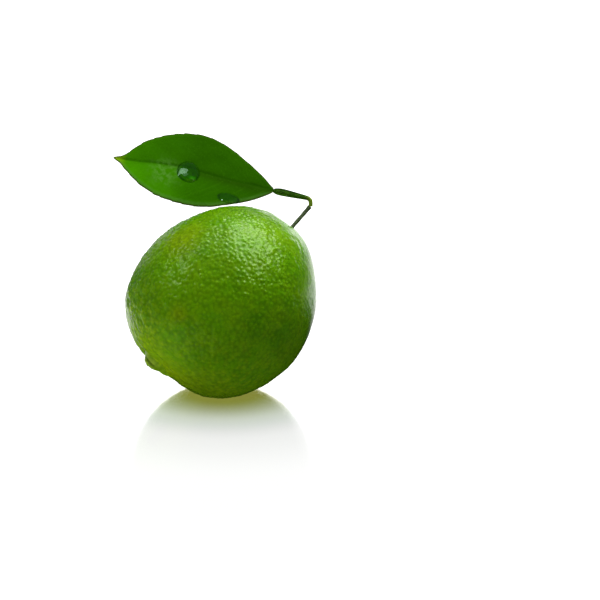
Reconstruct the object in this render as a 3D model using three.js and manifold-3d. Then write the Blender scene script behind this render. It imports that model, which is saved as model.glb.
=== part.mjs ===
// A whole lime resting on a small flat spot, with its calyx, its thin stem and one leaf.
// Millimetres, +Z up. The origin is the centre of the flat spot the fruit rests on.
// The stem end points up, to +X and back to +Y; the blunt nipple points down, to -X and -Y.
import * as THREE from 'three';
import Module from 'manifold-3d';
import { mergeVertices } from 'three/addons/utils/BufferGeometryUtils.js';

// ---------- driving dimensions ----------
const CENTRE = [1.544, 1.272, 27.458];            // fruit centre above the resting spot
const AXIS_S = [0.706773, 0.481574, 0.518226];    // fruit axis, towards the stem end
const AXIS_U = [-0.669131, 0.217275, 0.710673];   // across the axis, upwards
const AXIS_V = [0.229644, -0.849045, 0.4758];   // across the axis, forwards
const CALYX_DIR = [0.612237, 0.634967, 0.471149]; // where the stem joins, seen from the centre
const NIPPLE_DIR = [-0.748253, -0.314995, -0.583863];
// radius of the fruit along its length: cosine series in the angle from the stem end
const RADIUS = [28.436, 1.033, 0.975, 0.862, -0.232, 0.289, -0.072, 0.029, 0.06];
// lopsidedness, upper side against lower side: sine series in the same angle
const LOPSIDED = [-0.15, 0.095, 0.534, -0.006, 0.147, -0.1];
const STEM_DIMPLE = 1.1;          // depth of the hollow the calyx sits in
const STEM_DIMPLE_ANGLE = 8.0;    // its half-angle at the centre, degrees
const STEM_SHOULDER = 0.30;       // low swelling around the hollow
const NIPPLE_HEIGHT = 1.95;
const NIPPLE_ANGLE = 5.9;         // half-angle, degrees: about 2.8 mm radius
const NIPPLE_FURROW = 0.45;
// small local swellings and hollows: direction, height, half-angle
const LUMPS = [
  { dir: [-0.633184, -0.292084, -0.716774], height: 0.75, angle: 4 },
  { dir: [0.605427, 0.330644, 0.72397], height: -0.25, angle: 6 },
  { dir: [0.452885, 0.326579, 0.829603], height: 0.25, angle: 6 },
];
const FRUIT_SEGMENTS = 60;

const CALYX_RADIUS = 3.2;         // mean radius of the five-lobed button
const CALYX_LOBE = 0.17;          // lobe depth as a share of the radius
const CALYX_EDGE = 0.45;          // thickness at the lobes
const CALYX_CROWN = 0.95;         // extra thickness at the middle
const CLEARANCE = 0.3;            // between neighbouring pieces

const STEM_RADIUS = 0.45;
const STEM_NODE_RADIUS = 0.60;    // swelling at the leaf node
// the stem bends a little above the calyx, then runs straight to the leaf node
const STEM_MIDDLE = [[22.18, 22.9, 44.47], [24.94, 24.9, 47.3]];
const STEM_NODE = [28.08, 26.95, 50.5];

// leaf stalk: centre line, half-width across the wings, half-thickness
const PETIOLE_PATH = [
  [28.20, 27.00, 51.00], [28.20, 27.00, 51.70], [27.99, 27.00, 52.46], [27.37, 27.00, 52.94],
  [26.11, 27.05, 53.27], [24.33, 27.05, 53.68], [22.49, 27.05, 54.10], [20.64, 27.05, 54.54],
  [18.80, 27.02, 54.93], [17.67, 27.00, 55.15], [17.03, 27.00, 55.44],
];
const PETIOLE_AT = [0.000, 0.054, 0.115, 0.175, 0.276, 0.418, 0.564, 0.711, 0.856, 0.946, 1.000];
const PETIOLE_HALF_WIDTH = [0.50, 0.46, 0.45, 0.50, 0.64, 0.83, 1.03, 1.18, 1.22, 1.10, 0.50];
const PETIOLE_HALF_THICK = [0.50, 0.46, 0.45, 0.45, 0.44, 0.42, 0.40, 0.40, 0.40, 0.42, 0.44];

// leaf blade: midrib from base to tip, and half-widths on its far and near sides
const MIDRIB = [
  [16.72, 27.00, 55.53], [13.13, 26.95, 56.37], [8.69, 26.84, 57.44], [3.49, 26.64, 58.72],
  [-2.46, 26.34, 60.37], [-8.08, 25.96, 62.07], [-13.54, 25.52, 63.50], [-18.69, 25.04, 64.43],
  [-23.82, 24.49, 65.10], [-28.04, 23.99, 65.78], [-30.29, 23.71, 66.29], [-31.82, 23.50, 66.71],
];
const MIDRIB_AT = [0, 0.074, 0.165, 0.272, 0.396, 0.513, 0.626, 0.732, 0.836, 0.922, 0.968, 1];
const WIDTH_AT = [0, 0.02, 0.05, 0.09, 0.14, 0.2, 0.27, 0.34, 0.42, 0.5, 0.58, 0.66, 0.74, 0.81, 0.87, 0.92, 0.955, 0.98, 1];
const FAR_HALF = [0.80, 1.58, 2.94, 4.57, 6.39, 8.47, 10.75, 12.25, 13.17, 13.39, 12.95, 11.41, 9.45, 7.46, 5.04, 2.54, 1.17, 0.70, 0.22];
const NEAR_HALF = [0.80, 1.82, 3.01, 4.45, 6.05, 7.54, 9.25, 10.98, 12.05, 12.50, 12.71, 12.45, 11.30, 9.02, 6.44, 3.60, 1.62, 0.85, 0.22];
const FAR_LEAN = 42;              // lean of the far half of the blade, degrees
const NEAR_LEAN = 50;             // lean of the near half: the halves fold up from the midrib
const BLADE_CURL = 0.0042;        // both halves curl down towards their margins
const BLADE_WAVE = 0.30;          // gentle waves along the margins
const BLADE_HALF_THICK = 0.22;
const MIDRIB_KEEL = 0.55;         // the midrib stands proud below the blade
const BLADE_STEPS_LONG = 36;
const BLADE_STEPS_WIDE = 14;

// water drops on the blade: place along the midrib, distance across it, size
const DROP_LARGE = { at: 0.536, across: -1.3, long: 3.5, wide: 3.6, high: 1.9 };
const DROP_SMALL = { at: 0.268, across: -6.3, long: 3.5, wide: 1.9, high: 0.9 };

// ---------- small helpers ----------
const V = (a) => new THREE.Vector3(a[0], a[1], a[2]);
const deg = THREE.MathUtils.degToRad;

// smooth value of a table at x: cubic through the entries, slopes averaged from both sides
function smooth(xs, ys, x) {
  const n = xs.length;
  let i = 0;
  while (i < n - 2 && x >= xs[i + 1]) i += 1;
  const slope = (k) => (ys[k + 1] - ys[k]) / (xs[k + 1] - xs[k]);
  const tangent = (k) => (k === 0 ? slope(0) : k === n - 1 ? slope(n - 2) : (slope(k) + slope(k - 1)) / 2);
  const h = xs[i + 1] - xs[i];
  const s = (x - xs[i]) / h;
  return (2 * s ** 3 - 3 * s ** 2 + 1) * ys[i] + (s ** 3 - 2 * s ** 2 + s) * h * tangent(i)
    + (-2 * s ** 3 + 3 * s ** 2) * ys[i + 1] + (s ** 3 - s ** 2) * h * tangent(i + 1);
}
const smoothPoint = (xs, pts, x) => new THREE.Vector3(
  smooth(xs, pts.map((p) => p[0]), x), smooth(xs, pts.map((p) => p[1]), x), smooth(xs, pts.map((p) => p[2]), x));

// moves every vertex of a closed three.js shape, then joins the doubled ones
function reshape(geometry, place) {
  const pos = geometry.getAttribute('position');
  const uv = geometry.getAttribute('uv');
  for (let i = 0; i < pos.count; i += 1) {
    const p = place(new THREE.Vector3().fromBufferAttribute(pos, i), uv.getX(i), uv.getY(i));
    pos.setXYZ(i, p.x, p.y, p.z);
  }
  geometry.deleteAttribute('normal');
  geometry.deleteAttribute('uv');
  const merged = mergeVertices(geometry, 1e-4);
  merged.computeVertexNormals();
  return merged;
}

// a sphere's vertex as an azimuth and a polar angle from its own +Y pole
function polar(p, u) {
  return { angle: Math.acos(THREE.MathUtils.clamp(p.y, -1, 1)), round: u * 2 * Math.PI };
}

// turns a geometry's faces right side out if its volume comes out negative
function faceOutwards(geometry) {
  const pos = geometry.getAttribute('position');
  const idx = geometry.getIndex();
  const a = new THREE.Vector3(); const b = new THREE.Vector3(); const c = new THREE.Vector3();
  let volume = 0;
  for (let i = 0; i < idx.count; i += 3) {
    a.fromBufferAttribute(pos, idx.getX(i)); b.fromBufferAttribute(pos, idx.getX(i + 1)); c.fromBufferAttribute(pos, idx.getX(i + 2));
    volume += a.dot(b.clone().cross(c)) / 6;
  }
  if (volume < 0) {
    for (let i = 0; i < idx.count; i += 3) {
      const t = idx.getX(i); idx.setX(i, idx.getX(i + 2)); idx.setX(i + 2, t);
    }
    geometry.computeVertexNormals();
  }
  return geometry;
}

// ---------- fruit ----------
const centre = V(CENTRE);
const axisS = V(AXIS_S).normalize();
const axisU = V(AXIS_U).normalize();
const axisV = V(AXIS_V).normalize();
const calyxDir = V(CALYX_DIR).normalize();
const nippleDir = V(NIPPLE_DIR).normalize();
LUMPS.forEach((l) => { l.at = V(l.dir).normalize(); });

function fruitRadius(d) {
  const psi = Math.acos(THREE.MathUtils.clamp(d.dot(axisS), -1, 1));
  const phi = Math.atan2(d.dot(axisV), d.dot(axisU));
  const sp = Math.sin(psi);
  let r = 0;
  RADIUS.forEach((a, k) => { r += a * Math.cos(k * psi); });
  LOPSIDED.forEach((b, k) => { r += b * Math.sin((k + 1) * psi) * Math.cos(phi); });
  r += 0.10 * Math.sin(3 * phi + 0.7) * sp ** 3 + 0.10 * Math.sin(2 * phi + 1.3) * sp ** 2
    + 0.05 * Math.sin(5 * phi + 2.1) * sp ** 5;
  const fromCalyx = THREE.MathUtils.radToDeg(calyxDir.angleTo(d));
  r += -STEM_DIMPLE * Math.exp(-((fromCalyx / STEM_DIMPLE_ANGLE) ** 2))
    + STEM_SHOULDER * Math.exp(-(((fromCalyx - 17) / 6) ** 2));
  const fromNipple = THREE.MathUtils.radToDeg(nippleDir.angleTo(d));
  r += NIPPLE_HEIGHT * Math.exp(-((fromNipple / NIPPLE_ANGLE) ** 4))
    - NIPPLE_FURROW * Math.exp(-(((fromNipple - 8.6) / 2.0) ** 2))
    + 0.18 * Math.exp(-(((fromNipple - 13) / 3.5) ** 2));
  LUMPS.forEach((l) => { r += l.height * Math.exp(-((THREE.MathUtils.radToDeg(l.at.angleTo(d)) / l.angle) ** 2)); });
  return r;
}
const onFruit = (d, lift = 0) => centre.clone().addScaledVector(d, fruitRadius(d) + lift);

// rings run from the stem end to the nipple, closer together at both ends
const RINGS = [0, 3, 6, 9, 12, 15, 18.5, 22.5, 27];
while (RINGS[RINGS.length - 1] < 158) RINGS.push(RINGS[RINGS.length - 1] + 5);
RINGS.push(165, 168, 170, 171.4, 172.8, 174.2, 175.6, 177, 178.5, 180);

function fruitSolid() {
  const ball = new THREE.SphereGeometry(1, FRUIT_SEGMENTS, RINGS.length - 1);
  const ends = [calyxDir, nippleDir.clone().negate()];
  return reshape(ball, (p, u, v) => {
    const ring = Math.round((1 - v) * (RINGS.length - 1));
    const psi = deg(RINGS[ring]);
    const round = (p.x * p.x + p.z * p.z < 1e-10) ? 0 : Math.atan2(p.z, -p.x);
    const w = (1 + Math.cos(psi)) / 2;
    const pole = ends[0].clone().multiplyScalar(w).addScaledVector(ends[1], 1 - w).normalize();
    const d = pole.multiplyScalar(Math.cos(psi))
      .addScaledVector(axisU, Math.sin(psi) * Math.cos(round))
      .addScaledVector(axisV, Math.sin(psi) * Math.sin(round)).normalize();
    return onFruit(d);
  });
}

// ---------- joining and cutting ----------
const wasm = await Module();
wasm.setup();
function toSolid(geometry) {
  const vertProperties = Float32Array.from(geometry.getAttribute('position').array);
  const triVerts = Uint32Array.from(geometry.getIndex().array);
  return new wasm.Manifold(new wasm.Mesh({ numProp: 3, vertProperties, triVerts }));
}
function fromSolid(solid) {
  const mesh = solid.getMesh();
  const g = new THREE.BufferGeometry();
  const xyz = new Float32Array(mesh.numVert * 3);
  for (let i = 0; i < mesh.numVert; i += 1) {
    for (let k = 0; k < 3; k += 1) xyz[3 * i + k] = mesh.vertProperties[i * mesh.numProp + k];
  }
  g.setAttribute('position', new THREE.BufferAttribute(xyz, 3));
  g.setIndex(new THREE.BufferAttribute(Uint32Array.from(mesh.triVerts), 1));
  g.computeVertexNormals();
  return g;
}
function bareMerged(geometry) {
  geometry.deleteAttribute('normal');
  geometry.deleteAttribute('uv');
  return mergeVertices(geometry, 1e-4);
}

// the resting spot: everything below Z = 0 is taken off flat
const above = new THREE.BoxGeometry(90, 90, 90);
above.translate(0, 0, 45);
const fruitGeometry = fromSolid(toSolid(faceOutwards(fruitSolid())).intersect(toSolid(bareMerged(above))));

// ---------- calyx ----------
const calyxU = axisU.clone().addScaledVector(calyxDir, -axisU.dot(calyxDir)).normalize();
const calyxV = calyxDir.clone().cross(calyxU);
function calyxGeometry() {
  const ball = new THREE.SphereGeometry(1, 40, 8);
  return faceOutwards(reshape(ball, (p) => {
    const r = Math.hypot(p.x, p.z);
    const round = r < 1e-5 ? 0 : Math.atan2(p.z, p.x);
    const reach = CALYX_RADIUS * (1 + CALYX_LOBE * Math.cos(5 * round)) * Math.min(r, 1);
    const d = calyxDir.clone().addScaledVector(calyxU, (reach / 30) * Math.cos(round))
      .addScaledVector(calyxV, (reach / 30) * Math.sin(round)).normalize();
    const crown = CALYX_CROWN * Math.exp(-((reach / 1.5) ** 2));
    const lift = p.y > 1e-6 ? CLEARANCE + CALYX_EDGE + crown : p.y < -1e-6 ? CLEARANCE : CLEARANCE + CALYX_EDGE * 0.5;
    return onFruit(d, lift);
  }));
}

// ---------- stem and petiole: a cylinder bent along a line ----------
function bentRod(sides, steps, at, half, cap) {
  const rod = new THREE.CylinderGeometry(1, 1, 1, sides, steps);
  return faceOutwards(reshape(rod, (p) => {
    const t = THREE.MathUtils.clamp(0.5 - p.y, 0, 1);
    const r = Math.hypot(p.x, p.z);
    const round = r < 1e-5 ? 0 : Math.atan2(p.z, p.x);
    const { point, across, thick } = at(t);
    const [a, b] = half(t);
    return point.clone().addScaledVector(across, Math.min(r, 1) * a * Math.cos(round))
      .addScaledVector(thick, Math.min(r, 1) * b * Math.sin(round));
  }, cap));
}
const stemFoot = onFruit(calyxDir, 2 * CLEARANCE + CALYX_EDGE + CALYX_CROWN);
const stemCurve = new THREE.CatmullRomCurve3([stemFoot, V(STEM_MIDDLE[0]), V(STEM_MIDDLE[1]), V(STEM_NODE)]);
const stemGeometry = bentRod(12, 14, (t) => {
  const tangent = stemCurve.getTangentAt(t);
  const across = new THREE.Vector3(0, 1, 0).cross(tangent).normalize();
  return { point: stemCurve.getPointAt(t), across, thick: tangent.clone().cross(across) };
}, (t) => {
  const r = STEM_RADIUS + 0.30 * Math.exp(-((t / 0.08) ** 2))
    + (STEM_NODE_RADIUS - STEM_RADIUS) * Math.exp(-(((1 - t) / 0.09) ** 2));
  return [r, r];
});

const petioleGeometry = bentRod(16, 26, (t) => {
  const point = smoothPoint(PETIOLE_AT, PETIOLE_PATH, t);
  const ahead = smoothPoint(PETIOLE_AT, PETIOLE_PATH, Math.min(t + 0.01, 1));
  const behind = smoothPoint(PETIOLE_AT, PETIOLE_PATH, Math.max(t - 0.01, 0));
  const tangent = ahead.sub(behind).normalize();
  const facing = new THREE.Vector3(0, -0.72, 0.69);   // the wings face up and forwards
  const across = facing.cross(tangent).normalize();
  return { point, across, thick: tangent.clone().cross(across) };
}, (t) => [smooth(PETIOLE_AT, PETIOLE_HALF_WIDTH, t), smooth(PETIOLE_AT, PETIOLE_HALF_THICK, t)]);

// ---------- leaf blade ----------
function bladeFrame(t) {
  const ahead = smoothPoint(MIDRIB_AT, MIDRIB, Math.min(t + 0.001, 1));
  const behind = smoothPoint(MIDRIB_AT, MIDRIB, Math.max(t - 0.001, 0));
  const m = ahead.sub(behind).normalize();
  const lean = (angle) => {
    const w = new THREE.Vector3(0, Math.sin(deg(angle)), Math.cos(deg(angle)));
    return w.addScaledVector(m, -w.dot(m)).normalize();
  };
  return { m, far: lean(FAR_LEAN), near: lean(NEAR_LEAN) };
}
// a point on the blade's middle sheet: t along the midrib, w across it, lifted off it by lift
function onBlade(t, w, lift) {
  const { m, far, near } = bladeFrame(t);
  const side = w > 1e-9 ? 1 : w < -1e-9 ? -1 : 0;
  const across = side > 0 ? far : side < 0 ? near : far.clone().add(near).normalize();
  const normal = across.clone().cross(m).normalize();
  if (normal.z < 0) normal.negate();
  const a = Math.abs(w);
  const wave = BLADE_WAVE * Math.sin(2 * Math.PI * (2.6 * t + (side > 0 ? 0.10 : 0.45)));
  return smoothPoint(MIDRIB_AT, MIDRIB, t).addScaledVector(across, w)
    .addScaledVector(normal, -BLADE_CURL * a * a + wave * (a / 12) ** 2 + lift);
}
function bladeGeometry() {
  const slab = new THREE.BoxGeometry(1, 1, 1, BLADE_STEPS_LONG, BLADE_STEPS_WIDE, 1);
  return faceOutwards(reshape(slab, (p) => {
    const t = THREE.MathUtils.clamp(p.x + 0.5, 0, 1);
    const s = THREE.MathUtils.clamp(p.y * 2, -1, 1);
    const reach = smooth(WIDTH_AT, s >= 0 ? FAR_HALF : NEAR_HALF, t);
    const w = s * reach;
    const thin = BLADE_HALF_THICK * (1 - 0.35 * Math.abs(s));
    const keel = MIDRIB_KEEL * (1 - 0.75 * t) * Math.exp(-((w / 0.9) ** 2)) * Math.min(1, reach / 2);
    return onBlade(t, w, p.z > 0 ? thin : -thin - keel);
  }));
}

// ---------- water drops ----------
function dropGeometry(drop, length) {
  const ball = new THREE.SphereGeometry(1, 24, 8);
  return faceOutwards(reshape(ball, (p) => {
    const r = Math.min(Math.hypot(p.x, p.z), 1);
    const round = r < 1e-5 ? 0 : Math.atan2(p.z, p.x);
    const lobe = 1 + 0.05 * Math.cos(2 * round + 0.8) + 0.04 * Math.cos(3 * round + 2.0);
    const t = drop.at + (r * lobe * drop.long * Math.cos(round)) / length;
    const w = drop.across + r * lobe * drop.wide * Math.sin(round);
    const rise = p.y > 1e-6 ? drop.high * (1 - r ** 2.6) + 0.15 : p.y < -1e-6 ? 0 : 0.06;
    return onBlade(t, w, BLADE_HALF_THICK + CLEARANCE + rise);
  }));
}
let bladeLength = 0;
for (let i = 1; i < MIDRIB.length; i += 1) bladeLength += V(MIDRIB[i]).distanceTo(V(MIDRIB[i - 1]));

// ---------- finish ----------
const group = new THREE.Group();
function add(name, geometry, colour, roughness) {
  const material = new THREE.MeshStandardMaterial({ color: colour, roughness, metalness: 0 });
  const mesh = new THREE.Mesh(geometry, material);
  mesh.name = name;
  group.add(mesh);
}
add('fruit', fruitGeometry, 0x5f9410, 0.38);
add('calyx', calyxGeometry(), 0x66703a, 0.75);
add('stem', stemGeometry, 0x47552e, 0.65);
add('petiole', petioleGeometry, 0x2f5a12, 0.5);
add('leaf_blade', bladeGeometry(), 0x2f6607, 0.35);
add('water_drop_large', dropGeometry(DROP_LARGE, bladeLength), 0xd8f0e0, 0.05);
add('water_drop_small', dropGeometry(DROP_SMALL, bladeLength), 0xd8f0e0, 0.05);

export default group;
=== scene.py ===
"""A whole lime on a pale table, with its calyx, stem, leaf stalk, one leaf and water drops on the leaf."""

import math

import bpy
import numpy as np
from mathutils import Matrix, Vector, kdtree
from mathutils.geometry import delaunay_2d_cdt


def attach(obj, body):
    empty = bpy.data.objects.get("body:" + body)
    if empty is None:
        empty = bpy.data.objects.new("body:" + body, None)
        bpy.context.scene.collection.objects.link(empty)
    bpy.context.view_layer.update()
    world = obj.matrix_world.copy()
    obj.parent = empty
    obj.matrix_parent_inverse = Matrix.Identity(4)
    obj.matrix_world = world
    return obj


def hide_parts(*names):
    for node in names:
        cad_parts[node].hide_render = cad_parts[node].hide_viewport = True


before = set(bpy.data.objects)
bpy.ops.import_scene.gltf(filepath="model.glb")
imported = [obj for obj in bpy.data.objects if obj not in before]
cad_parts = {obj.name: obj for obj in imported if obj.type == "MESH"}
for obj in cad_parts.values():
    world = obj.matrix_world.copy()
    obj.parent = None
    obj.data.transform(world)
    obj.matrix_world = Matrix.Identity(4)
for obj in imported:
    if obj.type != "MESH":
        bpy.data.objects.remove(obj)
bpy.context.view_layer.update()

scene = bpy.context.scene
scene.view_settings.view_transform = "Standard"
scene.view_settings.look = "None"
scene.view_settings.exposure = 0.0
scene.view_settings.gamma = 1.0

MM = 0.001

# ---------- dimensions, millimetres and degrees ----------
CENTRE = np.array([1.544, 1.272, 27.458])


def unit(v):
    v = np.asarray(v, float)
    return v / np.linalg.norm(v, axis=-1, keepdims=True)


AXIS_S = unit([0.706773, 0.481574, 0.518226])
AXIS_U = unit([-0.669131, 0.217275, 0.710673])
AXIS_V = unit([0.229644, -0.849045, 0.4758])
CALYX_DIR = unit([0.612237, 0.634967, 0.471149])
NIPPLE_DIR = unit([-0.748253, -0.314995, -0.583863])
RADIUS = [28.436, 1.033, 0.975, 0.862, -0.232, 0.289, -0.072, 0.029, 0.06]
LOPSIDED = [-0.15, 0.095, 0.534, -0.006, 0.147, -0.1]
LUMPS = [
    (unit([-0.633184, -0.292084, -0.716774]), 0.75, 4.0),
    (unit([0.605427, 0.330644, 0.72397]), -0.25, 6.0),
    (unit([0.452885, 0.326579, 0.829603]), 0.25, 6.0),
    (unit([-0.655, -0.300, -0.693]), 0.60, 2.5),
    (unit([-0.740, -0.196, -0.641]), 0.42, 2.8),
    (unit([-0.700, -0.208, -0.683]), -0.22, 1.6),
    (unit([-0.632, -0.226, -0.741]), 0.22, 2.8),
    (unit([-0.583, -0.237, -0.777]), -0.26, 2.2),
    (unit([-0.536, -0.247, -0.807]), -0.40, 7.0),
    (unit([-0.470, 0.080, -0.880]), -0.60, 11.0),
    (unit([0.794, 0.177, 0.580]), 0.38, 9.0),
    (unit([-0.985, 0.030, 0.170]), 0.20, 14.0),
]
# a shallow crease in the shoulder: points on the rind seen from the centre
CREASE = unit([
    [0.6755, -0.1711, 0.7172], [0.7225, -0.0431, 0.69], [0.758, 0.0028, 0.6523],
    [0.8081, -0.0668, 0.5852], [0.8367, -0.2193, 0.5019],
])
# the furrow round the foot of the blossom-end knob, and the ridge beside it
FURROW = unit([
    [-0.8147, -0.3005, -0.4960], [-0.7916, -0.3415, -0.5066], [-0.7674, -0.3658, -0.5265], [-0.7401, -0.3831, -0.5527],
    [-0.7167, -0.3876, -0.5797], [-0.6964, -0.3777, -0.6101], [-0.6794, -0.3528, -0.6434],
])
# the rind is most pebbled about this direction, and smoother beyond it
PEBBLED_DIR = unit([-0.20, -0.72, 0.66])
PEBBLE_COUNT = 5600
PEBBLE_RADIUS = 0.58
PEBBLE_HEIGHT = 0.22

MIDRIB = np.array([
    [16.72, 27.00, 55.53], [13.13, 26.95, 56.37], [8.69, 26.84, 57.44], [3.49, 26.64, 58.72],
    [-2.46, 26.34, 60.37], [-8.08, 25.96, 62.07], [-13.54, 25.52, 63.50], [-18.69, 25.04, 64.43],
    [-23.82, 24.49, 65.10], [-28.04, 23.99, 65.78], [-30.29, 23.71, 66.29], [-31.82, 23.50, 66.71],
])
MIDRIB_AT = [0, 0.074, 0.165, 0.272, 0.396, 0.513, 0.626, 0.732, 0.836, 0.922, 0.968, 1]
WIDTH_AT = [0, 0.02, 0.05, 0.09, 0.14, 0.2, 0.27, 0.34, 0.42, 0.5, 0.58, 0.66, 0.74, 0.81, 0.87, 0.92, 0.955, 0.98, 1]
FAR_HALF = [0.80, 1.58, 2.94, 4.57, 6.39, 8.47, 10.75, 12.25, 13.17, 13.39, 12.95, 11.41, 9.45, 7.46, 5.04, 2.54, 1.17, 0.70, 0.22]
NEAR_HALF = [0.80, 1.82, 3.01, 4.45, 6.05, 7.54, 9.25, 10.98, 12.05, 12.50, 12.71, 12.45, 11.30, 9.02, 6.44, 3.60, 1.62, 0.85, 0.22]
FAR_LEAN, NEAR_LEAN = 42.0, 50.0
BLADE_CURL = 0.0042
BLADE_WAVE = 0.30
BLADE_LENGTH = 50.03
# places of the small notches in the margin, as shares of the midrib's length
FAR_NOTCHES = [0.10, 0.185, 0.275, 0.36, 0.445, 0.53, 0.60, 0.647, 0.72, 0.76, 0.84, 0.905]
NEAR_NOTCHES = [0.11, 0.20, 0.29, 0.38, 0.468, 0.545, 0.615, 0.703, 0.753, 0.853, 0.90, 0.943]

PETIOLE_PATH = np.array([
    [28.20, 27.00, 50.55], [28.20, 27.00, 51.70], [27.99, 27.00, 52.46], [27.37, 27.00, 52.94],
    [26.11, 27.05, 53.27], [24.33, 27.05, 53.68], [22.49, 27.05, 54.10], [20.64, 27.05, 54.54],
    [18.80, 27.02, 54.93], [17.67, 27.00, 55.15], [16.60, 27.00, 55.53],
])
PETIOLE_AT = [0.000, 0.080, 0.139, 0.197, 0.296, 0.435, 0.577, 0.720, 0.862, 0.930, 1.000]
PETIOLE_HALF_WIDTH = [0.64, 0.64, 0.68, 0.74, 0.86, 1.00, 1.14, 1.25, 1.28, 1.10, 0.68]
PETIOLE_HALF_THICK = [0.60, 0.57, 0.56, 0.55, 0.50, 0.46, 0.42, 0.40, 0.40, 0.40, 0.34]

STEM_MIDDLE = [[22.18, 22.9, 44.47], [24.94, 24.9, 47.3]]
STEM_NODE = [28.08, 26.95, 50.5]
STEM_RADIUS = 0.60
STEM_NODE_RADIUS = 0.70
CALYX_RADIUS = 3.2
CALYX_LIFT = 1.4

DROP_LARGE = {"at": 0.534, "across": -1.1, "long": 3.6, "wide": 3.9, "high": 2.1}
DROP_SMALL = {"at": 0.262, "across": -6.7, "long": 3.5, "wide": 1.9, "high": 0.9}


# ---------- small helpers ----------
def hermite(xs, ys, x):
    """Smooth value of a table at x: cubic through the entries, slopes averaged from both sides."""
    xs, ys, x = np.asarray(xs, float), np.asarray(ys, float), np.asarray(x, float)
    step = xs[1:] - xs[:-1]
    d = (ys[1:] - ys[:-1]) / (step if ys.ndim == 1 else step[:, None])
    m = np.concatenate([d[:1], (d[1:] + d[:-1]) / 2, d[-1:]])
    i = np.clip(np.searchsorted(xs, x, side="right") - 1, 0, len(xs) - 2)
    h, s = step[i], (x - xs[i]) / step[i]
    if ys.ndim == 2:
        h, s = h[..., None], s[..., None]
    return ((2 * s**3 - 3 * s**2 + 1) * ys[i] + (s**3 - 2 * s**2 + s) * h * m[i]
            + (-2 * s**3 + 3 * s**2) * ys[i + 1] + (s**3 - s**2) * h * m[i + 1])


def degrees_from(directions, axis):
    return np.degrees(np.arccos(np.clip(directions @ axis, -1, 1)))


def relief(points, wavelength, seed, count=48, spread=0.3):
    """Smooth random relief of unit size: a sum of plane waves in all directions."""
    g = np.random.default_rng(seed)
    k = unit(g.normal(size=(count, 3))) * (2 * np.pi / (wavelength * g.uniform(1 - spread, 1 + spread, (count, 1))))
    phase = g.uniform(0, 2 * np.pi, count)
    return np.cos(points @ k.T + phase).sum(1) * math.sqrt(2 / count)


def smoothstep(lo, hi, x):
    s = np.clip((np.asarray(x, float) - lo) / (hi - lo), 0, 1)
    return s * s * (3 - 2 * s)


def build(name, points, faces, materials, values=None, face_material=None):
    """A smooth mesh object from points in millimetres, with its named values on the points."""
    mesh = bpy.data.meshes.new(name)
    mesh.from_pydata((np.asarray(points, float) * MM).tolist(), [], [tuple(int(i) for i in f) for f in faces])
    mesh.polygons.foreach_set("use_smooth", np.ones(len(mesh.polygons), bool))
    for m in materials:
        mesh.materials.append(m)
    if face_material is not None:
        mesh.polygons.foreach_set("material_index", np.asarray(face_material, np.int32))
    for key, column in (values or {}).items():
        layer = mesh.attributes.new(key, "FLOAT", "POINT")
        layer.data.foreach_set("value", np.asarray(column, np.float32))
    mesh.update()
    obj = bpy.data.objects.new(name, mesh)
    scene.collection.objects.link(obj)
    return obj


def facing_out(points, faces):
    """The faces turned right side out, from the sign of the volume they close."""
    total = 0.0
    for f in faces if not isinstance(faces, np.ndarray) else [faces]:
        f = np.asarray(f)
        for k in range(1, f.shape[-1] - 1):
            a, b, c = points[f[..., 0]], points[f[..., k]], points[f[..., k + 1]]
            total += float(np.sum(a * np.cross(b, c)))
    return total > 0


def loft(rings):
    """Points, faces of a closed tube through rings of points, its two ends shut by a middle point."""
    rings = np.asarray(rings, float)
    steps, sides = rings.shape[:2]
    points = np.concatenate([rings.reshape(-1, 3), rings[0].mean(0)[None], rings[-1].mean(0)[None]])
    faces = []
    for i in range(steps - 1):
        for j in range(sides):
            k = (j + 1) % sides
            faces.append((i * sides + j, i * sides + k, (i + 1) * sides + k, (i + 1) * sides + j))
    first, last = steps * sides, steps * sides + 1
    for j in range(sides):
        k = (j + 1) % sides
        faces.append((first, k, j))
        faces.append((last, (steps - 1) * sides + j, (steps - 1) * sides + k))
    quads = np.array([f for f in faces if len(f) == 4])
    if not facing_out(points, quads):
        faces = [tuple(reversed(f)) for f in faces]
    return points, faces


# ---------- materials ----------
def rgb(r, g, b):
    """A colour from 0-255 display values, as the shader's linear ones."""
    def lin(c):
        c /= 255.0
        return c / 12.92 if c <= 0.04045 else ((c + 0.055) / 1.055) ** 2.4
    return (lin(r), lin(g), lin(b), 1.0)


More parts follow.
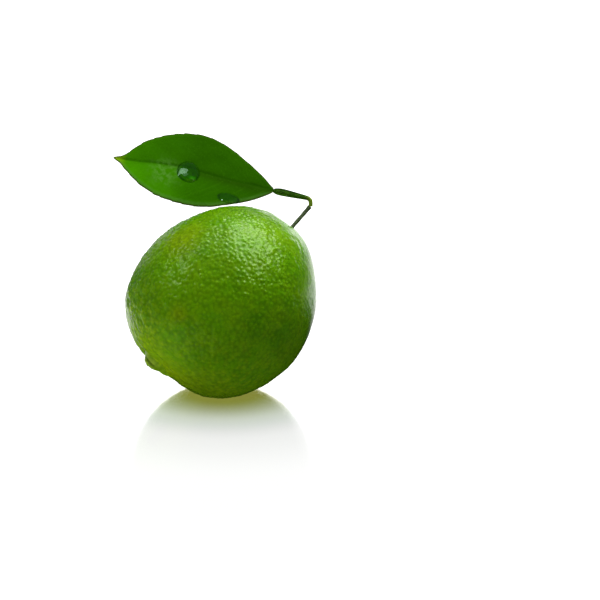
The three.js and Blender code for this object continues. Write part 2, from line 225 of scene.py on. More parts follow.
class Finish:
    """A material with one Principled shader, and short names for the nodes that drive it."""

    def __init__(self, name, **sockets):
        self.material = bpy.data.materials.new(name)
        self.material.use_nodes = True
        self.tree = self.material.node_tree
        self.shader = self.tree.nodes["Principled BSDF"]
        for key, value in sockets.items():
            self.shader.inputs[key.replace("_", " ")].default_value = value
        self.place = self.add("ShaderNodeTexCoord").outputs["Object"]

    def add(self, kind, inputs=None, **settings):
        n = self.tree.nodes.new(kind)
        for key, value in settings.items():
            setattr(n, key, value)
        for key, value in (inputs or {}).items():
            if isinstance(value, bpy.types.NodeSocket):
                self.tree.links.new(value, n.inputs[key])
            else:
                n.inputs[key].default_value = value
        return n

    def math(self, operation, a, b=0.0, c=0.0, clamp=False):
        return self.add("ShaderNodeMath", {0: a, 1: b, 2: c}, operation=operation, use_clamp=clamp).outputs[0]

    def noise(self, scale, detail=2.0, rough=0.5, place=None, distortion=0.0):
        return self.add("ShaderNodeTexNoise", {"Vector": place or self.place, "Scale": scale, "Detail": detail,
                                               "Roughness": rough, "Distortion": distortion}).outputs["Fac"]

    def cells(self, scale, feature="F1", randomness=1.0, place=None, output="Distance"):
        return self.add("ShaderNodeTexVoronoi", {"Vector": place or self.place, "Scale": scale, "Randomness": randomness},
                        feature=feature).outputs[output]

    def value(self, name):
        return self.add("ShaderNodeAttribute", attribute_name=name, attribute_type="GEOMETRY").outputs["Fac"]

    def ramp(self, x, lo, hi, a=0.0, b=1.0):
        return self.add("ShaderNodeMapRange", {"Value": x, "From Min": lo, "From Max": hi, "To Min": a, "To Max": b},
                        interpolation_type="SMOOTHSTEP").outputs["Result"]

    def mix(self, share, a, b, blend="MIX"):
        n = self.add("ShaderNodeMix", {0: share, 6: a, 7: b}, data_type="RGBA", blend_type=blend)
        return n.outputs[2]

    def near(self, point, radius):
        """1 at a point of the object, in millimetres, fading to 0 at the radius."""
        d = self.add("ShaderNodeVectorMath", {0: self.place, 1: tuple(c * MM for c in point)}, operation="DISTANCE")
        return self.ramp(d.outputs["Value"], 0.0, radius * MM, 1.0, 0.0)

    def oval(self, point, one, half_one, other, half_other):
        """0 in the middle of an oval, 1 on its edge: its centre, its two axes and their half lengths in millimetres."""
        away = self.add("ShaderNodeVectorMath", {0: self.place, 1: tuple(float(c) * MM for c in point)}, operation="SUBTRACT").outputs[0]
        parts = []
        for axis, half in ((one, half_one), (other, half_other)):
            along = tuple(float(c) / (half * MM) for c in axis)
            parts.append(self.add("ShaderNodeVectorMath", {0: away, 1: along}, operation="DOT_PRODUCT").outputs["Value"])
        squares = self.math("ADD", self.math("MULTIPLY", parts[0], parts[0]), self.math("MULTIPLY", parts[1], parts[1]))
        return self.math("SQRT", squares)

    def bump(self, height, distance, strength=1.0, normal=None):
        inputs = {"Height": height, "Distance": distance, "Strength": strength}
        if normal is not None:
            inputs["Normal"] = normal
        return self.add("ShaderNodeBump", inputs).outputs["Normal"]

    def set(self, key, socket):
        self.tree.links.new(socket, self.shader.inputs[key])


def rind_finish():
    f = Finish("lime_rind", Roughness=0.30, IOR=1.5)
    f.shader.inputs["Specular IOR Level"].default_value = 0.32
    f.shader.inputs["Specular Tint"].default_value = (0.80, 1.0, 0.50, 1.0)
    green, dark, yellow = rgb(94, 158, 0), rgb(78, 138, 0), rgb(128, 160, 2)
    broad = f.ramp(f.noise(55.0, 2.0), 0.35, 0.65)
    patch = f.ramp(f.noise(150.0, 3.0, 0.55), 0.3, 0.7)
    colour = f.mix(broad, dark, green)
    colour = f.mix(f.math("MULTIPLY", patch, 0.27), colour, yellow)
    colour = f.mix(f.math("MULTIPLY", f.near((-10.8, -8.3, 49.5), 11.0), 0.32), colour, rgb(146, 156, 4))
    colour = f.mix(f.math("MULTIPLY", f.near((-10.3, -24.3, 31.8), 5.0), 0.28), colour, rgb(140, 130, 2))
    # painted light: lighter over the lower left side, where light from the left falls
    colour = f.mix(f.math("MULTIPLY", f.near((-23.8, -11.0, 19.7), 19.0), 0.40), colour, rgb(146, 174, 0))
    # painted bounce light: lighter towards the bottom, front and left
    colour = f.mix(f.math("MULTIPLY", f.near((-6.0, -14.0, 5.0), 24.0), 0.50), colour, rgb(112, 134, 0))
    # painted shade: darker on the left side
    colour = f.mix(f.math("MULTIPLY", f.near((-24.0, -14.0, 29.0), 15.0), 0.26), colour, rgb(52, 104, 0))
    # painted light: lighter on the upper left of the top
    colour = f.mix(f.math("MULTIPLY", f.near((-8.0, -9.0, 55.0), 10.0), 0.38), colour, rgb(152, 180, 8))
    # painted bounce light: lighter at the bottom left
    colour = f.mix(f.math("MULTIPLY", f.near((-15.0, -16.0, 8.0), 12.0), 0.40), colour, rgb(146, 164, 0))
    # painted light: lighter round the top, under the key lamp's highlight
    colour = f.mix(f.math("MULTIPLY", f.near((7.0, -11.5, 55.0), 19.0), 0.15), colour, rgb(116, 190, 4))
    # painted shade: darker below and right of the bright patch
    colour = f.mix(f.math("MULTIPLY", f.near((16.0, -22.0, 40.5), 9.0), 0.28), colour, rgb(66, 118, 0))
    # painted light: lighter on the upper right
    colour = f.mix(f.math("MULTIPLY", f.near((17.0, -6.0, 53.5), 13.0), 0.30), colour, rgb(158, 204, 14))
    # painted light: lighter on the upper left of the front
    colour = f.mix(f.math("MULTIPLY", f.near((-14.0, -17.0, 42.0), 11.0), 0.22), colour, rgb(116, 180, 4))
    # painted shade: darker on the front left
    colour = f.mix(f.math("MULTIPLY", f.near((-18.5, -21.5, 32.5), 10.0), 0.32), colour, rgb(56, 98, 0))
    # painted shade: darker low on the front
    colour = f.mix(f.math("MULTIPLY", f.near((6.5, -28.0, 21.5), 11.0), 0.17), colour, rgb(54, 94, 0))
    # painted light: lighter on the upper front
    colour = f.mix(f.math("MULTIPLY", f.near((-2.0, -22.5, 46.5), 10.0), 0.28), colour, rgb(122, 178, 4))
    # painted bounce light: lighter low on the front
    colour = f.mix(f.math("MULTIPLY", f.near((-5.0, -23.0, 10.0), 9.0), 0.22), colour, rgb(128, 158, 0))
    fleck = f.ramp(f.noise(620.0, 2.0), 0.42, 0.70)
    # the rind's light flecks, made stronger on the lower left as painted light from the left, and stronger low on the
    # front
    paler = f.math("ADD", 0.12, f.math("MULTIPLY", f.near((-23.8, -11.0, 18.7), 26.0), 0.50))
    paler = f.math("ADD", paler, f.math("MULTIPLY", f.near((4.0, -20.0, 10.0), 20.0), 0.22), clamp=True)
    colour = f.mix(f.math("MULTIPLY", fleck, paler), colour, rgb(154, 188, 2))
    # painted light and shade of the relief: pebble tops lighter, and the pits between them darker, more on the left,
    # much less at the bottom and at one spot on the lower left
    colour = f.mix(f.ramp(f.value("pebble"), 0.45, 1.0, 0.0, 0.12), colour, rgb(120, 176, 4))
    pit = f.math("ADD", 0.28, f.math("MULTIPLY", f.near((-25.0, -9.0, 24.0), 20.0), 0.22))
    pit = f.math("MULTIPLY", pit, f.math("SUBTRACT", 1.0, f.math("MULTIPLY", f.near((-10.0, -9.0, 3.0), 27.0), 0.95)))
    pit = f.math("MULTIPLY", pit, f.math("SUBTRACT", 1.0, f.math("MULTIPLY", f.near((-25.0, -4.0, 14.0), 9.0), 0.9)))
    colour = f.mix(f.math("MULTIPLY", f.ramp(f.value("pebble"), 0.10, 0.50, 1.0, 0.0), pit), colour, rgb(50, 92, 0))
    # painted shade in the furrow round the knob, and painted light on the ridge beside it
    colour = f.mix(f.math("MULTIPLY", f.value("furrow"), 0.80), colour, rgb(40, 56, 4))
    colour = f.mix(f.math("MULTIPLY", f.value("ridge"), 0.45), colour, rgb(160, 186, 66))
    f.set("Base Color", colour)
    soft = f.math("MULTIPLY", f.near((11.0, -12.5, 54.0), 15.0), 0.07)
    f.set("Roughness", f.math("ADD", f.ramp(f.noise(420.0, 2.0), 0.3, 0.7, 0.17, 0.24), soft))
    fine = f.noise(1500.0, 2.0, 0.6)
    f.set("Normal", f.bump(fine, 0.00005, 0.30))
    return f.material


def leaf_finish(name, upper):
    if upper:
        f = Finish(name, Roughness=0.42, IOR=1.45)
        f.shader.inputs["Specular IOR Level"].default_value = 0.10
        f.shader.inputs["Specular Tint"].default_value = (0.5, 1.0, 0.05, 1.0)
        base, light, vein = rgb(43, 97, 0), rgb(72, 153, 0), rgb(84, 150, 4)
    else:
        f = Finish(name, Roughness=0.62, IOR=1.45)
        f.shader.inputs["Specular IOR Level"].default_value = 0.25
        base, light, vein = rgb(92, 132, 52), rgb(118, 156, 66), rgb(140, 168, 84)
    along, across, line = f.value("along"), f.value("across"), f.value("vein")
    patch = f.ramp(f.noise(110.0, 3.0), 0.3, 0.7)
    # painted light: the blade lighter towards its tip, the near half more so
    lit = f.math("MULTIPLY", f.ramp(across, -0.16, 0.06, 1.0, 0.0), f.ramp(along, 0.15, 0.9, 0.0, 0.51))
    lit = f.math("ADD", lit, f.ramp(along, 0.45, 1.0, 0.0, 0.50), clamp=True)
    colour = f.mix(lit, base, light)
    colour = f.mix(f.math("MULTIPLY", patch, 0.2), colour, rgb(30, 84, 2) if upper else rgb(84, 120, 44))
    colour = f.mix(f.math("MULTIPLY", f.ramp(along, 0.91, 0.99), 0.8), colour, rgb(146, 184, 16))
    line = f.math("MULTIPLY", line, f.ramp(across, -0.1, 0.1, 0.09, 0.04) if upper else 0.30)
    colour = f.mix(line, colour, vein)
    margin = f.value("margin")
    if upper:
        # painted light: a lighter band just inside the near half's margin, where its rim catches the light
        band = f.math("MULTIPLY", f.ramp(margin, 0.25, 0.6), f.ramp(margin, 0.8, 2.0, 1.0, 0.0))
        band = f.math("MULTIPLY", band, f.ramp(across, -0.6, -0.3, 0.30, 0.0))
        colour = f.mix(band, colour, rgb(98, 152, 62))
        # painted shade: a dark line along the far side of the midrib, stronger towards the tip
        colour = f.mix(f.math("MULTIPLY", f.value("rib"), f.ramp(along, 0.42, 0.56, 0.14, 0.27)), colour, rgb(24, 70, 0))
        # painted shade: a soft dark band along the midrib's trough, mostly on the near side, towards the stalk
        colour = f.mix(f.math("MULTIPLY", f.value("crease"), f.ramp(along, 0.46, 0.60, 0.58, 0.0)), colour, rgb(34, 68, 2))
        # fine droplets near the tip, painted as a paler mottled sheen
        mist_sheen = f.math("MULTIPLY", f.near(on_blade(0.68, -2.9, 0.15), 7.6), f.ramp(f.noise(700.0, 3.0, 0.6), 0.40, 0.66))
        colour = f.mix(f.math("MULTIPLY", mist_sheen, 0.36), colour, rgb(120, 172, 80))
    # painted shade: darker along the very edge of the blade, on both faces
    colour = f.mix(f.ramp(margin, 0.26, 0.70, 0.80, 0.0), colour, rgb(70, 88, 34))
    if upper:
        # painted shade and light of the water on the leaf: darker under each drop, with a darker rim, and a painted
        # bright patch of focused light at the large drop's foot
        for drop, depth in ((DROP_LARGE, 1.0), (DROP_SMALL, 0.8)):
            t, w = drop["at"], drop["across"]
            middle = on_blade(t, w, 0.15)
            tipward = unit(on_blade(t + 0.02, w, 0.15) - middle)
            sideways = unit(on_blade(t, w + 0.4, 0.15) - middle)
            reach = f.oval(middle, tipward, drop["long"], sideways, drop["wide"])
            inside = f.ramp(reach, 0.90, 1.04, 1.0, 0.0)
            colour = f.mix(f.math("MULTIPLY", inside, 0.34 * depth), colour, rgb(12, 88, 0))
            rim = f.math("MULTIPLY", f.ramp(reach, 0.66, 0.92), inside)
            colour = f.mix(f.math("MULTIPLY", rim, 0.60 * depth), colour, rgb(8, 44, 2))
        middle = on_blade(0.505, -2.7, 0.15)
        bright = f.ramp(f.oval(middle, tipward, 1.7, sideways, 0.9), 0.2, 1.0, 0.75, 0.0)
        colour = f.mix(bright, colour, rgb(56, 150, 20))
    gland = f.ramp(f.cells(1300.0), 0.05, 0.28, 0.22, 0.0)
    colour = f.mix(gland, colour, rgb(86, 150, 30) if upper else rgb(60, 100, 24))
    f.set("Base Color", colour)
    f.set("Roughness", f.ramp(f.noise(600.0, 2.0), 0.3, 0.7, *((0.36, 0.5) if upper else (0.55, 0.72))))
    web = f.cells(650.0, feature="DISTANCE_TO_EDGE")
    height = f.math("ADD", f.ramp(web, 0.0, 0.12), f.math("MULTIPLY", f.noise(1800.0, 2.0), 0.6))
    f.set("Normal", f.bump(height, 0.00003, 0.5))
    return f.material


def stalk_finish(name, base, light, rough):
    f = Finish(name, Roughness=rough, IOR=1.45)
    f.shader.inputs["Specular IOR Level"].default_value = 0.02
    streak = f.add("ShaderNodeMapping", {"Vector": f.place, "Scale": (1.0, 1.0, 1.0)}).outputs["Vector"]
    patch = f.ramp(f.noise(900.0, 4.0, 0.6, place=streak), 0.3, 0.7)
    colour = f.mix(patch, base, light)
    colour = f.mix(f.math("MULTIPLY", f.value("pale"), 0.85), colour, rgb(164, 194, 64))
    colour = f.mix(f.math("MULTIPLY", f.value("shade"), 0.7), colour, rgb(28, 44, 10))
    f.set("Base Color", colour)
    f.set("Roughness", f.ramp(f.noise(1500.0, 2.0), 0.3, 0.7, rough - 0.08, rough + 0.1))
    f.set("Normal", f.bump(f.noise(2600.0, 3.0, 0.6), 0.00005, 0.6))
    return f.material


def calyx_finish():
    f = Finish("calyx_button", Roughness=0.7, IOR=1.45)
    f.shader.inputs["Specular IOR Level"].default_value = 0.25
    patch = f.ramp(f.noise(700.0, 4.0, 0.6), 0.3, 0.7)
    colour = f.mix(patch, rgb(96, 112, 52), rgb(130, 132, 74))
    colour = f.mix(f.math("MULTIPLY", f.value("shade"), 0.75), colour, rgb(74, 58, 26))
    f.set("Base Color", colour)
    f.set("Normal", f.bump(f.noise(1900.0, 4.0, 0.6), 0.0001, 0.7))
    f.set("Roughness", f.ramp(f.noise(1200.0, 2.0), 0.3, 0.7, 0.6, 0.8))
    return f.material


def water_finish():
    f = Finish("water", Roughness=0.0, IOR=1.333)
    # a green-grey tint darkens the leaf seen through the water: painted shade, as the drops cast no shadow
    f.shader.inputs["Base Color"].default_value = (0.64, 0.88, 0.74, 1.0)
    f.shader.inputs["Transmission Weight"].default_value = 1.0
    f.shader.inputs["Coat Weight"].default_value = 1.0
    f.shader.inputs["Coat Roughness"].default_value = 0.04
    f.shader.inputs["Coat IOR"].default_value = 1.7
    return f.material


# ---------- fruit ----------
def rho(d):
    """Distance from the fruit's centre to its rind along unit directions."""
    psi = np.arccos(np.clip(d @ AXIS_S, -1, 1))
    phi = np.arctan2(d @ AXIS_V, d @ AXIS_U)
    sp = np.sin(psi)
    r = sum(a * np.cos(k * psi) for k, a in enumerate(RADIUS))
    r = r + sum(b * np.sin((k + 1) * psi) for k, b in enumerate(LOPSIDED)) * np.cos(phi)
    r += 0.10 * np.sin(3 * phi + 0.7) * sp**3 + 0.10 * np.sin(2 * phi + 1.3) * sp**2 + 0.05 * np.sin(5 * phi + 2.1) * sp**5
    ds = degrees_from(d, CALYX_DIR)
    r += -1.1 * np.exp(-((ds / 8.0) ** 2)) + 0.30 * np.exp(-(((ds - 17) / 6.0) ** 2))
    dn = degrees_from(d, NIPPLE_DIR)
    r += 1.95 * np.exp(-((dn / 5.9) ** 4)) - 0.45 * np.exp(-(((dn - 8.6) / 2.0) ** 2)) + 0.18 * np.exp(-(((dn - 13) / 3.5) ** 2))
    for at, height, angle in LUMPS:
        r += height * np.exp(-((degrees_from(d, at) / angle) ** 2))
    return r


def on_fruit(d, lift=0.0):
    d = np.asarray(d, float)
    return CENTRE + d * (rho(np.atleast_2d(d)).reshape(d.shape[:-1]) + lift)[..., None]


def sphere_triangles(d):
    """Delaunay triangles of unit directions; the last of them is straight down."""
    flat = d[:-1, :2] / (1 + d[:-1, 2:3])
    out = delaunay_2d_cdt([Vector((float(a), float(b))) for a, b in flat], [], [], 0, 1e-10)
    first = np.array([o[0] for o in out[3]])
    tri = first[np.array(out[2])]
    edges = np.concatenate([tri[:, [0, 1]], tri[:, [1, 2]], tri[:, [2, 0]]]).astype(np.int64)
    n = len(d)
    there, back = edges[:, 0] * n + edges[:, 1], edges[:, 1] * n + edges[:, 0]
    rim = edges[~np.isin(there, back)]
    fan = np.stack([rim[:, 1], rim[:, 0], np.full(len(rim), n - 1)], 1)
    tri = np.concatenate([tri, fan])
    a, b, c = d[tri[:, 0]], d[tri[:, 1]], d[tri[:, 2]]
    if np.sum(np.einsum("ij,ij->i", np.cross(a, b), c)) < 0:
        tri = tri[:, ::-1]
    return tri


def scattered(count, seed):
    """Directions spread evenly but irregularly over the sphere, ending with the one straight down."""
    g = np.random.default_rng(seed)
    i = np.arange(count) + 0.5
    z, turn = 1 - 2 * i / count, i * math.pi * (3 - math.sqrt(5))
    r = np.sqrt(1 - z * z)
    d = np.stack([r * np.cos(turn), r * np.sin(turn), z], 1)
    d = unit(d + g.normal(0, 0.42 * math.sqrt(4 * math.pi / count), d.shape))
    down = np.array([[0, 0, -1.0]])
    for _ in range(2):
        d = d[degrees_from(d, down[0]) > 0.4]
        p = np.concatenate([d, down])
        tri = sphere_triangles(p)
        total, hits = np.zeros_like(p), np.zeros(len(p))
        for a, b in ((0, 1), (1, 2), (2, 0)):
            np.add.at(total, tri[:, a], p[tri[:, b]])
            np.add.at(hits, tri[:, a], 1)
        d = unit(d + 0.38 * (total[:-1] / hits[:-1, None] - d))
    return np.concatenate([d, down])


def groove(points, directions):
    """Distance of points from a line on the rind, and the share of its length they are nearest to."""
    line = directions * rho(directions)[:, None]
    best, where = np.full(len(points), 1e9), np.zeros(len(points))
    for i in range(len(line) - 1):
        a, b = line[i], line[i + 1]
        t = np.clip(((points - a) @ (b - a)) / ((b - a) @ (b - a)), 0, 1)
        gap = np.linalg.norm(points - (a + t[:, None] * (b - a)), axis=1)
        nearer = gap < best
        best, where = np.where(nearer, gap, best), np.where(nearer, (i + t) / (len(line) - 1), where)
    return best, where


def fruit_mesh():
    g = np.random.default_rng(77)
    pebbles = scattered(PEBBLE_COUNT, 1721)
    tri = sphere_triangles(pebbles)
    size = g.uniform(0.0, 1.0, len(pebbles))
    spot = pebbles * rho(pebbles)[:, None]
    radius = PEBBLE_RADIUS * (0.78 + 0.44 * size)
    height = PEBBLE_HEIGHT * (0.60 + 0.80 * g.uniform(0, 1, len(pebbles)))
    to_tip = degrees_from(pebbles, NIPPLE_DIR)
    height *= 1 - 0.45 * np.exp(-((to_tip / 9.0) ** 2))
    away = degrees_from(pebbles, PEBBLED_DIR)
    height *= 1 - 0.75 * smoothstep(52.0, 74.0, away) + 0.35 * smoothstep(105.0, 128.0, away)
    # rings of points round each pebble, and one point in each pit between three pebbles
    side = unit(np.cross(pebbles, unit(g.normal(size=pebbles.shape))))
    other = np.cross(pebbles, side)
    sets = [pebbles[:-1]]
    for points_round, share in ((6, 0.52), (9, 1.15)):
        for k in range(points_round):
            a = 2 * math.pi * (k + share) / points_round
            step = (side * math.cos(a) + other * math.sin(a)) * (radius * share / np.linalg.norm(spot, axis=1))[:, None]
            sets.append(unit(pebbles + step)[:-1])
    gaps = unit(np.cross(pebbles[tri[:, 1]] - pebbles[tri[:, 0]], pebbles[tri[:, 2]] - pebbles[tri[:, 0]]))
    sets.append(gaps)
    every = np.concatenate(sets)
    mm = every * 28.0
    tree = kdtree.KDTree(len(mm))
    for i, p in enumerate(mm):
        tree.insert(p, i)
    tree.balance()
    keep = np.ones(len(mm), bool)
    for i, p in enumerate(mm):
        if not keep[i]:
            continue
        for _, j, _ in tree.find_range(p, 0.15):
            if j > i:
                keep[j] = False
    d = every[keep]
    d = d[degrees_from(d, np.array([0, 0, -1.0])) > 0.25]
    d = np.concatenate([d, [[0, 0, -1.0]]])
    faces = sphere_triangles(d)

    r = rho(d)
    p28 = d * 28.0
    away = degrees_from(d, PEBBLED_DIR)
    smoother = 1 - 0.70 * smoothstep(60.0, 80.0, away) * smoothstep(130.0, 105.0, away)
    r += 0.05 * relief(p28, 9.0, 3) + (0.030 * relief(p28, 3.0, 4, 64) + 0.014 * relief(p28, 2.1, 14, 64)) * smoother
    dn = degrees_from(d, NIPPLE_DIR)
    # the rind is lumpier towards the blossom end
    r += (0.055 * relief(p28, 2.9, 8, 72) + 0.05 * relief(p28, 4.6, 9, 64)) * smoothstep(95.0, 45.0, dn) * (0.5 + 0.5 * smoother)
    r += 0.10 * relief(p28, 1.9, 5, 64) * np.exp(-((dn / 9.0) ** 2))
    # the crease in the shoulder with the low swelling beside it, and the furrow at the knob
    here = d * r[:, None]
    gap, where = groove(here, CREASE)
    fade = smoothstep(0.0, 0.25, where) * smoothstep(1.0, 0.65, where)
    r += fade * (-0.09 * np.exp(-((gap / 0.75) ** 2)) + 0.04 * np.exp(-(((gap - 1.5) / 0.9) ** 2)))
    gap, where = groove(here, FURROW)
    fade = smoothstep(0.0, 0.2, where) * smoothstep(1.0, 0.6, where)
    r += fade * (-0.24 * np.exp(-((gap / 0.40) ** 2)) + 0.12 * np.exp(-(((gap - 1.0) / 0.45) ** 2)))
    # masks for the painted shade in the furrow and the painted light on the ridge
    furrow = fade * np.exp(-((gap / 0.45) ** 2))
    ridge = fade * np.exp(-(((gap - 1.0) / 0.50) ** 2))
    # the pebbles over the oil glands
    tree = kdtree.KDTree(len(spot))
    for i, p in enumerate(spot):
        tree.insert(p, i)
    tree.balance()
    here = d * rho(d)[:, None]
    swell, mark = np.zeros(len(d)), np.zeros(len(d))
    for i, p in enumerate(here):
        for _, j, gap in tree.find_n(p, 4):
            w = math.exp(-((gap / radius[j]) ** 2))
            swell[i] += (height[j] * w) ** 3
            mark[i] = max(mark[i], w)
    r += np.cbrt(swell) - 0.45 * PEBBLE_HEIGHT
    # the flat spot it rests on, with a soft edge
    level = np.where(d[:, 2] < -0.2, CENTRE[2] / np.maximum(-d[:, 2], 0.2), 1e3)
    k = 0.12
    h = np.clip(0.5 + 0.5 * (level - r) / k, 0, 1)
    r = level * (1 - h) + r * h - k * h * (1 - h)
    points = CENTRE + d * r[:, None]
    points[:, 2] = np.maximum(points[:, 2], 0.0)
    return points, faces, {"pebble": np.clip(mark, 0, 1), "furrow": furrow, "ridge": ridge}


# ---------- leaf ----------
def blade_frames(t):
    """Midrib points, and the across directions of both halves, for an array of shares of its length."""
    mid = hermite(MIDRIB_AT, MIDRIB, t)
    ahead = hermite(MIDRIB_AT, MIDRIB, np.minimum(t + 0.001, 1.0))
    behind = hermite(MIDRIB_AT, MIDRIB, np.maximum(t - 0.001, 0.0))
    m = unit(ahead - behind)
    out = []
    for lean in (FAR_LEAN, NEAR_LEAN):
        w = np.array([0, math.sin(math.radians(lean)), math.cos(math.radians(lean))])
        out.append(unit(w - (m @ w)[..., None] * m))
    return mid, m, out[0], out[1]


def on_blade(t, w, lift):
    """Points over the blade's middle sheet: t along the midrib, w across it, lifted off it. Arrays of one shape."""
    t, w, lift = np.broadcast_arrays(np.asarray(t, float), np.asarray(w, float), np.asarray(lift, float))
    mid, m, far, near = blade_frames(t)
    # the two halves meet in a rounded trough along the midrib
    turn = smoothstep(-1.2, 1.2, w)[..., None]
    across = unit(far * turn + near * (1 - turn))
    normal = np.cross(across, m)
    normal = unit(np.where(normal[..., 2:3] < 0, -normal, normal))
    side = np.where(w[..., None] > 0, far, near)
    a = np.abs(w)
    wave = BLADE_WAVE * np.sin(2 * np.pi * (2.6 * t + np.where(w > 0, 0.10, 0.45)))
    rise = -BLADE_CURL * a * a + wave * (a / 12) ** 2 + lift
    return mid + side * w[..., None] + normal * rise[..., None]


def reach_at(t, far):
    """Half-width of the blade with its small forward-pointing teeth."""
    r = hermite(WIDTH_AT, FAR_HALF if far else NEAR_HALF, t)
    notches = FAR_NOTCHES if far else NEAR_NOTCHES
    tooth = np.zeros_like(t)
    for a, b in zip([notches[0] - 0.08] + notches[:-1], notches):
        s = (t - a) / (b - a)
        inside = (s >= 0) & (s < 1)
        tooth = np.where(inside, s - 0.5 - smoothstep(0.86, 1.0, s) * s, tooth)
    size = (0.10 + 0.16 * smoothstep(0.4, 0.6, t)) * smoothstep(0.03, 0.15, t) * smoothstep(0.985, 0.88, t)
    return np.maximum(r + size * tooth, 0.12)


def vein_pattern(t, w):
    """0 to 1 on the side veins, at a place t along the midrib and w across it."""
    along = t * BLADE_LENGTH
    a = np.abs(w)
    line = np.zeros(np.broadcast(t, w).shape)
    for half in (0, 1):
        chosen = (w > 0) if half == 0 else (w <= 0)
        for k in range(15):
            start = 0.6 + 3.35 * k + (0.9 if half else 0.0) + 0.5 * math.sin(2.1 * k + half)
            weight = 1.0 if k % 2 == 0 else 0.55
            lean = 0.80 + 0.08 * math.sin(1.7 * k + 2 * half)
            gap = (along - start - lean * a - 0.035 * a * a) * 0.72
            line = np.where(chosen, np.maximum(line, weight * np.exp(-((gap / 0.22) ** 2))), line)
    return line


def leaf_mesh():
    columns = 264
    t = 1 - np.linspace(0, 1, columns) ** 1.0
    t = np.sort(t)
    x = np.concatenate([np.linspace(0, 0.94, 56), [0.955, 0.968, 0.979, 0.988, 0.995, 1.0]])
    s = np.concatenate([-x[::-1], x[1:]])
    rows = len(s)
    far, near = reach_at(t, True), reach_at(t, False)
    T = np.repeat(t[:, None], rows, 1)
    S = np.repeat(s[None], columns, 0)
    W = np.where(S >= 0, S * far[:, None], S * near[:, None])
    A, L = np.abs(S), np.abs(W)
    reach = np.where(S >= 0, far[:, None], near[:, None])
    edge = (1 - A) * reach                       # distance to the margin
    vein = vein_pattern(T, W)
    fade = smoothstep(0.2, 1.6, edge) * smoothstep(0.2, 1.2, L)
    vein = vein * fade
    flat = np.stack([T * BLADE_LENGTH, W, 0 * W], -1).reshape(-1, 3)
    swell = 0.04 * relief(flat, 7.0, 11, 40).reshape(T.shape) + 0.012 * relief(flat, 3.0, 12, 40).reshape(T.shape)
    sheet = swell * smoothstep(0.0, 1.5, L) + 0.03 * np.exp(-(((edge - 1.3) / 0.6) ** 2)) * smoothstep(1, 4, reach)
    sheet -= 0.12 * np.exp(-((edge / 0.45) ** 2)) * smoothstep(1, 4, reach)
    half = 0.15 * (1 - 0.35 * A)
    round_off = np.sqrt(np.clip(1 - (1 - np.clip(edge / 0.16, 0, 1)) ** 2, 0, 1))
    ends = np.minimum(1, np.minimum(T, 1 - T) * BLADE_LENGTH / 0.25)
    half = half * np.minimum(round_off, np.sqrt(np.clip(1 - (1 - ends) ** 2, 0, 1)))
    trough = 0.10 * (1 - 0.45 * T) * np.exp(-((L / 0.55) ** 2)) * np.minimum(1, reach / 3)
    top = sheet + half - trough - np.where(W > 0, 0.010, 0.022) * vein
    keel = 0.62 * (1 - 0.72 * T) * np.exp(-((L / 0.75) ** 2)) * np.minimum(1, reach / 2)
    low = sheet - half - keel * np.minimum(1, half / 0.05) - 0.07 * vein
    upper, lower = on_blade(T, W, top), on_blade(T, W, low)
    # the two faces share their outline
    rim = np.zeros(T.shape, bool)
    rim[0], rim[-1], rim[:, 0], rim[:, -1] = True, True, True, True
    middle = on_blade(T, W, sheet - trough * 0.5)
    upper[rim] = middle[rim]
    index = np.arange(columns * rows).reshape(columns, rows)
    below = index.copy()
    inner = ~rim
    below[inner] = columns * rows + np.arange(inner.sum())
    points = np.concatenate([upper.reshape(-1, 3), lower[inner]])
    def grid(ix, flip):
        a, b, c, d = ix[:-1, :-1], ix[1:, :-1], ix[1:, 1:], ix[:-1, 1:]
        q = np.stack([a, b, c, d], -1).reshape(-1, 4)
        return q[:, ::-1] if flip else q
    faces = np.concatenate([grid(index, False), grid(below, True)])
    which = np.concatenate([np.zeros(len(faces) // 2), np.ones(len(faces) // 2)]).astype(int)
    if not facing_out(points, faces):
        faces = faces[:, ::-1]
    def both(column):
        return np.concatenate([column.reshape(-1), column[inner]])
    # rib and crease mark where painted shade goes along the midrib
    values = {"along": both(T), "across": both(S), "vein": both(vein), "rib": both(np.exp(-(((W - 0.35) / 0.55) ** 2))), "crease": both(np.where(W < 0, np.exp(-((W / 2.4) ** 2)), 0.35 * np.exp(-((W / 1.3) ** 2)))),
              "margin": both(np.minimum(edge, 6.0))}
    return points, faces, which, values


def blade_top(t, w):
    """Height of the blade's upper face over its middle sheet, without its finest relief."""
    reach = np.where(w >= 0, reach_at(t, True), reach_at(t, False))
    a = np.clip(np.abs(w) / reach, 0, 1)
    return 0.15 * (1 - 0.35 * a) - 0.10 * (1 - 0.45 * t) * np.exp(-((np.abs(w) / 0.55) ** 2)) * np.minimum(1, reach / 3)


